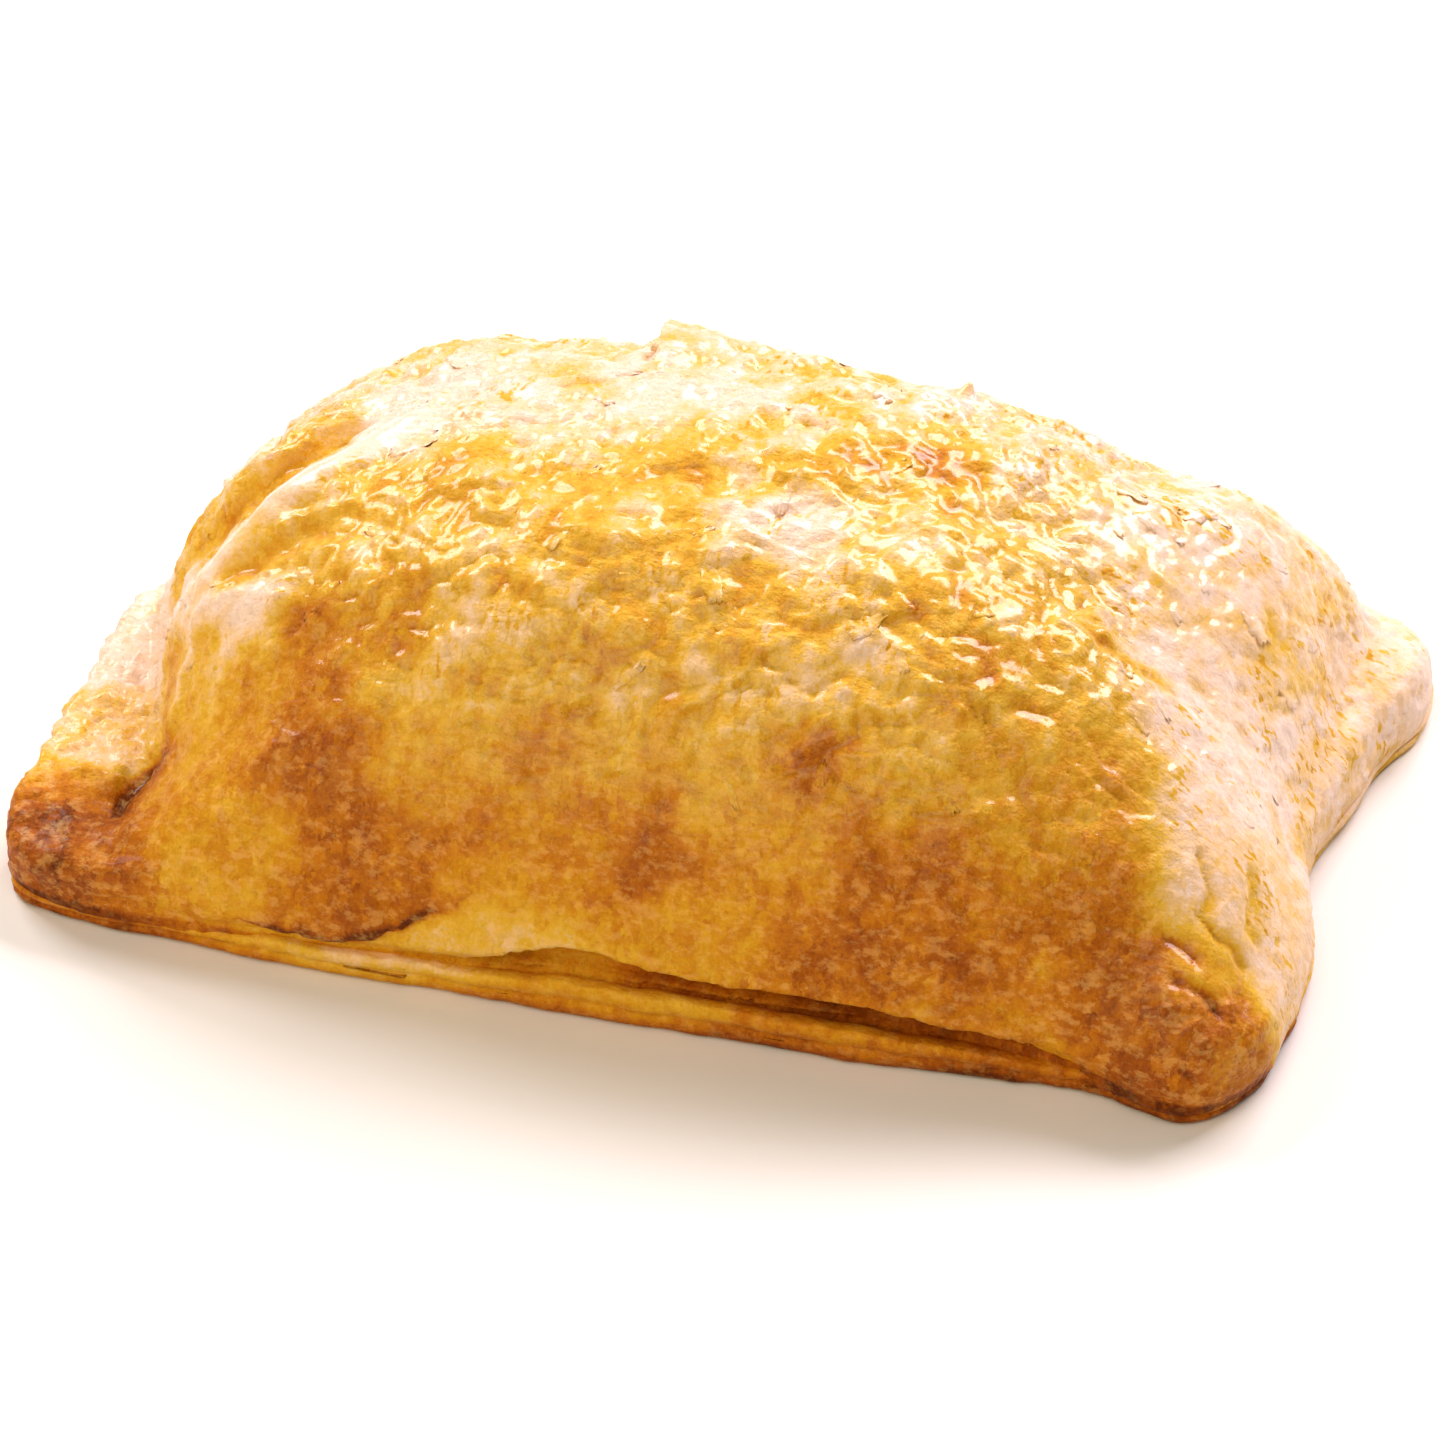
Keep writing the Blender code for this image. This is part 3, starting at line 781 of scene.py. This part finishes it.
def leaf_grid(bm, place, along, across, size, lift, seed):
    """One thin leaf on the crust: a grid of faces that hugs it and bends up at one end."""
    grid = []
    for i in range(FLAKE_CELLS + 1):
        u = 2.0 * i / FLAKE_CELLS - 1.0
        row = []
        for j in range(FLAKE_CELLS + 1):
            v = 2.0 * j / FLAKE_CELLS - 1.0
            taper = 1.0 - 0.45 * abs(u) ** 1.5
            ragged = 1.0 + 0.5 * noise.noise((1.9 * u + seed, 1.9 * v, 0.7 * seed))
            spot = place + along * (u * ragged * size[0] / 2)
            spot += across * (v * taper * ragged * size[1] / 2)
            base, normal = crust_tree.find_nearest(spot)[:2]
            rim = max(abs(u), abs(v)) ** 3
            rise = FLAKE_RISE - FLAKE_RIM_DROP * rim + lift * max(0.0, u) ** 2
            row.append(bm.verts.new((base.lerp(spot, FLAKE_LOOSE) + normal * rise) * MM))
        grid.append(row)
    grid_faces(bm, grid)


# %% [markdown]
# The leaves lie where the crust is golden and flaky, few of them on the front and none on the
# pressed strip. Each one runs roughly down the slope. A fixed start for the random draws
# gives the same leaves on each run.

# %% Scatter the loose leaves
FLAKES = 90
FLAKE_THICK = 0.09
FLAKE_LENGTH, FLAKE_SLIM = (0.9, 3.2), (0.35, 0.7)
FLAKE_LIFT = (0.04, 0.22)
FLAKE_TURN = 0.6
LEVEL_ENOUGH = 0.15
draws = random.Random(24)


def flakes_mesh():
    """Open sheets for all the loose leaves, most of them high on the golden crust."""
    bm = bmesh.new()
    chance = 0.9 * (1.0 - zone["left strip"]) * (1.0 - smooth_fold) * (1.0 - 0.7 * zone["front"])
    chance *= smooth(6.0, 9.0, points[:, 2])
    order = list(range(len(points)))
    draws.shuffle(order)
    made = 0
    for pick in order:
        if made == FLAKES:
            break
        if draws.random() > chance[pick]:
            continue
        place, facing = Vector(points[pick]), Vector(normals[pick])
        down = Vector((0, 0, -1)) - facing * -facing.z
        down = (down if down.length > LEVEL_ENOUGH else facing.orthogonal()).normalized()
        turn = draws.gauss(0.0, FLAKE_TURN)
        along = (down * math.cos(turn) + facing.cross(down) * math.sin(turn)).normalized()
        length = draws.uniform(*FLAKE_LENGTH)
        size = (length, length * draws.uniform(*FLAKE_SLIM))
        lift = draws.uniform(*FLAKE_LIFT)
        leaf_grid(bm, place, along, facing.cross(along), size, lift, made * 0.37)
        made += 1
    sheets = to_mesh(bm, "loose_flakes")
    return with_modifier(sheets, "SOLIDIFY", thickness=FLAKE_THICK * MM, offset=-1.0)


def crust_values(places, values):
    """Values of the crust's points, read at the nearest place on the crust."""
    picked = []
    for place in places:
        face = crust_mesh.polygons[crust_tree.find_nearest(Vector(place))[2]]
        picked.append(float(np.mean(values[list(face.vertices)])))
    return np.array(picked)


def dress_leaf(mesh, shift):
    """Gives a leaf all the numbers of the crust under it, with its bake shifted a little."""
    places = mesh_points(mesh)
    numbers = {name: crust_values(places, values) for name, values in crust_numbers.items()}
    leaf_bake = numbers["bake_and_painted_light"] + shift + 0.12 * wavy(places, 2.0, 81.0)
    numbers["bake_and_painted_light"] = np.clip(leaf_bake, 0.0, 1.0)
    paint(mesh, numbers)


flake_mesh = flakes_mesh()
dress_leaf(flake_mesh, -0.06)
loose_flakes = add_piece("loose_flakes", flake_mesh)

# %% [markdown]
# One leaf is much larger. It tore along the back of the crown and stands up like a shelf,
# with a blunt ragged end at the left. It is a grid dropped straight down on the crust, raised
# at its torn end and sunk in along its other sides.

# %% Lay the torn leaf along the crown
TORN_LEAF_X = (-9.3, 8.0)
TORN_LEAF_Y = (12.0, 21.5)
TORN_LEAF_CELLS = (44, 26)
TORN_LEAF_LIFT, TORN_LEAF_SINK = 0.55, 0.25
TORN_LEAF_THICK = 0.35
ABOVE = 60.0
PAST_STEP = 0.3


def torn_leaf_mesh():
    """One large leaf on the crown, with its torn left end raised."""
    bm = bmesh.new()
    grid = []
    for i in range(TORN_LEAF_CELLS[0] + 1):
        u = i / TORN_LEAF_CELLS[0]
        row = []
        for j in range(TORN_LEAF_CELLS[1] + 1):
            v = j / TORN_LEAF_CELLS[1]
            y = TORN_LEAF_Y[0] + v * (TORN_LEAF_Y[1] - TORN_LEAF_Y[0])
            torn_end = TORN_LEAF_X[0] + 0.5 * noise.noise((y * 0.9, 3.0, 0.0))
            torn_end += 0.25 * noise.noise((y * 2.6, 9.0, 0.0))
            x = torn_end + u**1.3 * (TORN_LEAF_X[1] - torn_end)
            over = Vector((max(x, TORN_STEP_X + PAST_STEP), y, ABOVE))
            down = crust_tree.ray_cast(over, Vector((0, 0, -1)))[0]
            raised = min(1.0, 4.0 * v, 4.0 * (1.0 - v)) * max(0.0, 1.0 - 1.6 * u)
            z = down.z - TORN_LEAF_SINK + (TORN_LEAF_LIFT + TORN_LEAF_SINK) * raised
            z += 0.06 * noise.noise((x, y, 1.0))
            row.append(bm.verts.new(Vector((x, y, z)) * MM))
        grid.append(row)
    grid_faces(bm, grid)
    sheet = to_mesh(bm, "torn_leaf")
    return with_modifier(sheet, "SOLIDIFY", thickness=TORN_LEAF_THICK * MM, offset=-1.0)


torn_mesh = torn_leaf_mesh()
dress_leaf(torn_mesh, 0.08)
torn_leaf = add_piece("torn_leaf", torn_mesh)

# %% [markdown]
# The two finishes share four effects, so each effect is a node group that is built once. The
# groups are made of a few kinds of nodes, and these helpers add them: a value that goes into
# a socket is either a number or a link.

# %% Helpers that build node groups
def new_group(name, inputs, outputs):
    """An empty shader node group with named sockets, and its input and output nodes."""
    group = bpy.data.node_groups.new(name, "ShaderNodeTree")
    for socket, value in inputs:
        made = group.interface.new_socket(socket, in_out="INPUT", socket_type="NodeSocketFloat")
        made.default_value = value
    for socket, kind in outputs:
        group.interface.new_socket(socket, in_out="OUTPUT", socket_type=kind)
    return group, group.nodes.new("NodeGroupInput"), group.nodes.new("NodeGroupOutput")


def plug(tree, value, socket):
    """Links another socket to a socket, or sets it to a number or a colour."""
    if isinstance(value, bpy.types.NodeSocket):
        tree.links.new(value, socket)
    else:
        socket.default_value = value


def new_node(tree, kind, **values):
    """A node of one kind, with numbers or links for some of its inputs."""
    node = tree.nodes.new(kind)
    for socket, value in values.items():
        plug(tree, value, node.inputs[socket])
    return node


def math_node(tree, operation, *values):
    """A Math node; each value is a number or a socket."""
    node = tree.nodes.new("ShaderNodeMath")
    node.operation = operation
    for value, socket in zip(values, node.inputs):
        plug(tree, value, socket)
    return node.outputs[0]


def noise_node(tree, place, scale, detail, roughness=0.55):
    """Noise of a given scale, in waves for each mm, read at a place in mm."""
    settings = {"Vector": place, "Scale": scale, "Detail": detail, "Roughness": roughness}
    return new_node(tree, "ShaderNodeTexNoise", **settings).outputs["Fac"]


def place_in_mm(tree, stretch=(1.0, 1.0, 1.0)):
    """The point on the object in mm, divided by a stretch."""
    spot = tree.nodes.new("ShaderNodeTexCoord")
    scaled = tree.nodes.new("ShaderNodeVectorMath")
    scaled.operation = "MULTIPLY"
    plug(tree, spot.outputs["Object"], scaled.inputs[0])
    plug(tree, [1.0 / (MM * s) for s in stretch], scaled.inputs[1])
    return scaled.outputs[0]


def soft_step(tree, value, low, high):
    """0 where a value is at low, 1 where it is at high, and a smooth step between them."""
    settings = {"Value": value, "From Min": low, "From Max": high}
    node = new_node(tree, "ShaderNodeMapRange", **settings)
    node.interpolation_type = "SMOOTHSTEP"
    return node.outputs["Result"]


# %% [markdown]
# The first effect is a field of short strokes that run down the slopes. The second is the
# patchwork of small flakes: each has its own level, so it can be a little browner or paler
# and a little higher or lower than the next.

# %% Build the strokes and the patchwork
BEND = 1.6
PATCH_SCALE = 1.1


def flaky_strokes_group():
    """Fine strokes and larger dashes down the slopes. Ends is 1 where the slopes fall along X."""
    outputs = (("Height", "NodeSocketFloat"), ("Dashes", "NodeSocketFloat"))
    group, given, result = new_group("flaky strokes", (("Ends", 0.0),), outputs)
    for socket, thin, long, detail in (("Height", 0.5, 1.3, 2.0), ("Dashes", 0.5, 1.1, 1.0)):
        down_front = noise_node(group, place_in_mm(group, stretch=(thin, long, long)), 1.0, detail)
        down_ends = noise_node(group, place_in_mm(group, stretch=(long, thin, long)), 1.0, detail)
        gap = math_node(group, "SUBTRACT", down_ends, down_front)
        mixed = math_node(group, "MULTIPLY_ADD", gap, given.outputs["Ends"], down_front)
        plug(group, mixed, result.inputs[socket])
    return group


def patchwork_group():
    """A level for each small flake, from about -0.5 to 0.5, with bent outlines."""
    group, given, result = new_group("patchwork of flakes", (), (("Level", "NodeSocketFloat"),))
    place = place_in_mm(group, stretch=(0.8, 1.3, 1.3))
    push = new_node(group, "ShaderNodeTexNoise", Vector=place, Scale=BEND)
    bent = group.nodes.new("ShaderNodeVectorMath")
    bent.operation = "MULTIPLY_ADD"
    for value, socket in zip((push.outputs["Color"], (BEND, BEND, BEND), place), bent.inputs):
        plug(group, value, socket)
    cells = new_node(group, "ShaderNodeTexVoronoi", Vector=bent.outputs[0], Scale=PATCH_SCALE)
    plug(group, math_node(group, "SUBTRACT", cells.outputs["Color"], 0.5), result.inputs["Level"])
    return group


flaky_strokes = flaky_strokes_group()
patchwork = patchwork_group()
print("Shared effects:", flaky_strokes.name, "and", patchwork.name)

# %% [markdown]
# The third effect turns the bake number, painted light and all, into a pastry colour. It
# breaks the colour up with mottling, with the patchwork, with golden flecks between the
# strokes that are partly painted shade, and with pale tips that are partly painted highlight.
# Pale dough is pinkish cream, half-baked dough golden yellow, and well-baked dough orange
# brown.

# %% Build the baked colour
BAKE_COLOURS = (
    (0.00, (0.92, 0.71, 0.58)),
    (0.14, (0.90, 0.62, 0.36)),
    (0.34, (0.79, 0.47, 0.040)),
    (0.50, (0.69, 0.325, 0.012)),
    (0.66, (0.56, 0.185, 0.006)),
    (0.82, (0.36, 0.085, 0.004)),
    (1.00, (0.12, 0.022, 0.002)),
)
# Colour of the pale tips: partly dry pastry, partly painted highlight.
PALE_TIP_AND_HIGHLIGHT = (0.93, 0.54, 0.16)
BETWEEN_DASHES = (0.43, 0.36)
TIP_NOISE = (0.48, 0.64)


def colour_with_painted_light_group():
    """Bake number in, pastry colour out, browner in the low places between the dashes as partly painted
    shade, with pale tips as partly painted highlight.
    """
    inputs = (
        ("Bake", 0.4), ("Mottle", 0.2), ("Dashes", 0.5), ("Flecks", 0.2), ("Patches", 0.0), ("Tips", 0.3),
    )
    group, given, result = new_group("colour with painted light", inputs, (("Color", "NodeSocketColor"),))
    place = place_in_mm(group)
    broad = math_node(group, "SUBTRACT", noise_node(group, place, 1.1, 4.0), 0.5)
    fine = math_node(group, "SUBTRACT", noise_node(group, place, 3.6, 3.0, 0.6), 0.5)
    both = math_node(group, "ADD", broad, fine)
    mottled = math_node(group, "MULTIPLY_ADD", both, given.outputs["Mottle"], given.outputs["Bake"])
    # Browner in the low places between the dashes: partly wash, partly painted shade.
    between = soft_step(group, given.outputs["Dashes"], *BETWEEN_DASHES)
    patched = math_node(group, "ADD", mottled, given.outputs["Patches"])
    total = math_node(group, "MULTIPLY_ADD", between, given.outputs["Flecks"], patched)
    ramp = group.nodes.new("ShaderNodeValToRGB")
    while len(ramp.color_ramp.elements) < len(BAKE_COLOURS):
        ramp.color_ramp.elements.new(0.5)
    for element, (position, colour) in zip(ramp.color_ramp.elements, BAKE_COLOURS):
        element.position = position
        element.color = (*colour, 1.0)
    group.links.new(total, ramp.inputs["Fac"])
    small = noise_node(group, place_in_mm(group, stretch=(1.2, 1.0, 0.8)), 1.1, 4.0, 0.65)
    tip = soft_step(group, small, *TIP_NOISE)
    share = math_node(group, "MULTIPLY", tip, given.outputs["Tips"])
    tipped = group.nodes.new("ShaderNodeMix")
    tipped.data_type = "RGBA"
    plug(group, (*PALE_TIP_AND_HIGHLIGHT, 1.0), tipped.inputs["B"])
    plug(group, share, tipped.inputs["Factor"])
    plug(group, ramp.outputs["Color"], tipped.inputs["A"])
    plug(group, tipped.outputs["Result"], result.inputs["Color"])
    return group


colour_with_painted_light = colour_with_painted_light_group()
print("Shared effect:", colour_with_painted_light.name, "with", len(BAKE_COLOURS), "colours")

# %% [markdown]
# The fourth effect is the fine grain of strokes, wrinkles and pinholes that is too small to
# model. It also makes the surface a little rougher and smoother from place to place.

# %% Build the fine grain
PIT_SCALE, PIT_SIZE = 1.8, 0.14
DRY_SPREAD = 0.3


def fine_grain_group():
    """Height of the grain that is too small to model, and how rough it leaves the surface."""
    inputs = (("Strokes", 0.5), ("Wrinkle", 0.6), ("Pinholes", 0.3), ("Roughness", 0.5))
    outputs = (("Height", "NodeSocketFloat"), ("Roughness", "NodeSocketFloat"))
    group, given, result = new_group("fine grain", inputs, outputs)
    wrinkle = noise_node(group, place_in_mm(group, stretch=(1.4, 1.0, 0.9)), 2.4, 4.0, 0.6)
    pits = new_node(group, "ShaderNodeTexVoronoi", Vector=place_in_mm(group), Scale=PIT_SCALE)
    pit = math_node(group, "LESS_THAN", pits.outputs["Distance"], PIT_SIZE)
    height = math_node(group, "MULTIPLY_ADD", wrinkle, given.outputs["Wrinkle"], given.outputs["Strokes"])
    hole = math_node(group, "MULTIPLY", pit, given.outputs["Pinholes"])
    plug(group, math_node(group, "SUBTRACT", height, hole), result.inputs["Height"])
    dry = math_node(group, "MULTIPLY_ADD", wrinkle, DRY_SPREAD, -DRY_SPREAD / 2)
    plug(group, math_node(group, "ADD", dry, given.outputs["Roughness"]), result.inputs["Roughness"])
    return group


fine_grain = fine_grain_group()
print("Shared effect:", fine_grain.name)

# %% [markdown]
# Egg wash dries to a thin clear glaze over the crust, so the crust's shader has a coat over a
# slightly rough pastry. The cut edges have next to no glaze: they are dry and rougher.

# %% Make the finishes
COAT_IOR = 1.45
SHEEN_LEVEL, SHEEN_TINT = 0.12, (1.0, 0.74, 0.40, 1.0)


def placed(tree, group, **values):
    """One use of a group, with its own values."""
    node = tree.nodes.new("ShaderNodeGroup")
    node.node_tree = group
    for socket, value in values.items():
        plug(tree, value, node.inputs[socket])
    return node


def attribute(tree, name):
    """One of the numbers that the points of a mesh carry."""
    node = tree.nodes.new("ShaderNodeAttribute")
    node.attribute_name = name
    return node.outputs["Fac"]


def pastry(name, mottle, flecks, patches, tips_and_highlights, wrinkle, pinholes, bump, roughness, coat_roughness):
    """A pastry finish: colour from the bake and the painted light, gloss from the glaze, fine grain as bump.
    """
    material = bpy.data.materials.new(name)
    material.use_nodes = True
    tree = material.node_tree
    shader = tree.nodes["Principled BSDF"]
    running = placed(tree, flaky_strokes, Ends=attribute(tree, "ends"))
    level = placed(tree, patchwork).outputs["Level"]
    colour = placed(
        tree, colour_with_painted_light,
        Bake=attribute(tree, "bake_and_painted_light"),
        Mottle=mottle,
        Dashes=running.outputs["Dashes"],
        Flecks=math_node(tree, "MULTIPLY", attribute(tree, "dashed"), flecks),
        Patches=math_node(tree, "MULTIPLY", level, patches),
        Tips=math_node(tree, "MULTIPLY", attribute(tree, "tips_and_highlights"), tips_and_highlights),
    )
    half_stroke = math_node(tree, "MULTIPLY", running.outputs["Height"], 0.5)
    strokes = math_node(tree, "MULTIPLY_ADD", level, 0.5, half_stroke)
    grain = placed(tree, fine_grain, Strokes=strokes, Wrinkle=wrinkle, Pinholes=pinholes, Roughness=roughness)
    height = math_node(tree, "MULTIPLY", grain.outputs["Height"], attribute(tree, "grain"))
    raised = new_node(tree, "ShaderNodeBump", Distance=bump * MM, Height=height)
    settings = {
        "Base Color": colour.outputs["Color"],
        "Roughness": grain.outputs["Roughness"],
        "Normal": raised.outputs["Normal"],
        "Coat Weight": attribute(tree, "glaze"),
        "Coat Roughness": coat_roughness,
        "Coat IOR": COAT_IOR,
        "Specular IOR Level": SHEEN_LEVEL,
        "Specular Tint": SHEEN_TINT,
        "Metallic": 0.0,
    }
    for socket, value in settings.items():
        plug(tree, value, shader.inputs[socket])
    return material


egg_washed_crust = pastry(
    "egg_washed_crust", mottle=0.24, flecks=0.32, patches=0.16, tips_and_highlights=0.34, wrinkle=0.8, pinholes=0.25,
    bump=0.28, roughness=0.45, coat_roughness=0.16,
)
raw_edge = pastry(
    "raw_edge", mottle=0.28, flecks=0.05, patches=0.10, tips_and_highlights=0.30, wrinkle=0.7, pinholes=0.2,
    bump=0.22, roughness=0.60, coat_roughness=0.40,
)
for piece in (upper_crust, lower_sheet, loose_flakes, torn_leaf):
    piece.data.materials.clear()
    piece.data.materials.append(raw_edge if piece is lower_sheet else egg_washed_crust)
print("Finishes:", egg_washed_crust.name, "and", raw_edge.name)

# %% [markdown]
# The pie stands on a plain pale table. Two large soft lights stand behind it, as windows
# would, so the top and the right slope shine. The front wall is in warm shade, lit by a
# weaker light from above and by a broad warm fill.

# %% Set up the table and the lights
FLOOR_SIZE, FLOOR_GAP = 4.0, 0.1
FLOOR_GREY, FLOOR_ROUGHNESS = 0.88, 0.8
ROOM_COLOUR, ROOM_STRENGTH = (1.0, 0.93, 0.84, 1.0), 0.15
bpy.context.scene.view_settings.view_transform = "Standard"
bpy.context.scene.view_settings.look = "None"


def make_floor():
    """A plain pale table top, a tenth of a millimetre below the pie."""
    bm = bmesh.new()
    bmesh.ops.create_grid(bm, x_segments=1, y_segments=1, size=FLOOR_SIZE / 2)
    mesh = to_mesh(bm, "floor")
    floor = new_object("floor", mesh)
    floor.location.z = -FLOOR_GAP * MM
    material = bpy.data.materials.new("pale_table")
    material.use_nodes = True
    shader = material.node_tree.nodes["Principled BSDF"]
    shader.inputs["Base Color"].default_value = (FLOOR_GREY, FLOOR_GREY, FLOOR_GREY, 1.0)
    shader.inputs["Roughness"].default_value = FLOOR_ROUGHNESS
    mesh.materials.append(material)


def soft_light(name, azimuth, elevation, distance, size, watts, colour):
    """A soft rectangular light that faces the pie."""
    lamp = bpy.data.lights.new(name, "AREA")
    lamp.shape = "RECTANGLE"
    lamp.size, lamp.size_y = size
    lamp.energy = watts
    lamp.color = colour
    light = new_object(name, lamp)
    way = direction(math.radians(azimuth), math.radians(elevation))
    light.location = way * distance
    light.rotation_mode = "QUATERNION"
    light.rotation_quaternion = (-way).to_track_quat("-Z", "Y")


make_floor()
soft_light("window", 160.0, 42.0, 0.7, (0.46, 0.28), 6.0, (1.0, 0.88, 0.93))
soft_light("left window", -125.0, 40.0, 0.7, (0.30, 0.26), 3.2, (1.0, 0.92, 0.92))
soft_light("overhead", 10.0, 66.0, 0.7, (0.45, 0.45), 1.2, (1.0, 0.90, 0.78))
soft_light("front fill", -20.0, 30.0, 0.8, (0.7, 0.5), 2.9, (1.0, 0.78, 0.44))
world = bpy.data.worlds.new("pale room")
world.use_nodes = True
room_light = world.node_tree.nodes["Background"].inputs
room_light["Color"].default_value = ROOM_COLOUR
room_light["Strength"].default_value = ROOM_STRENGTH
bpy.context.scene.world = world
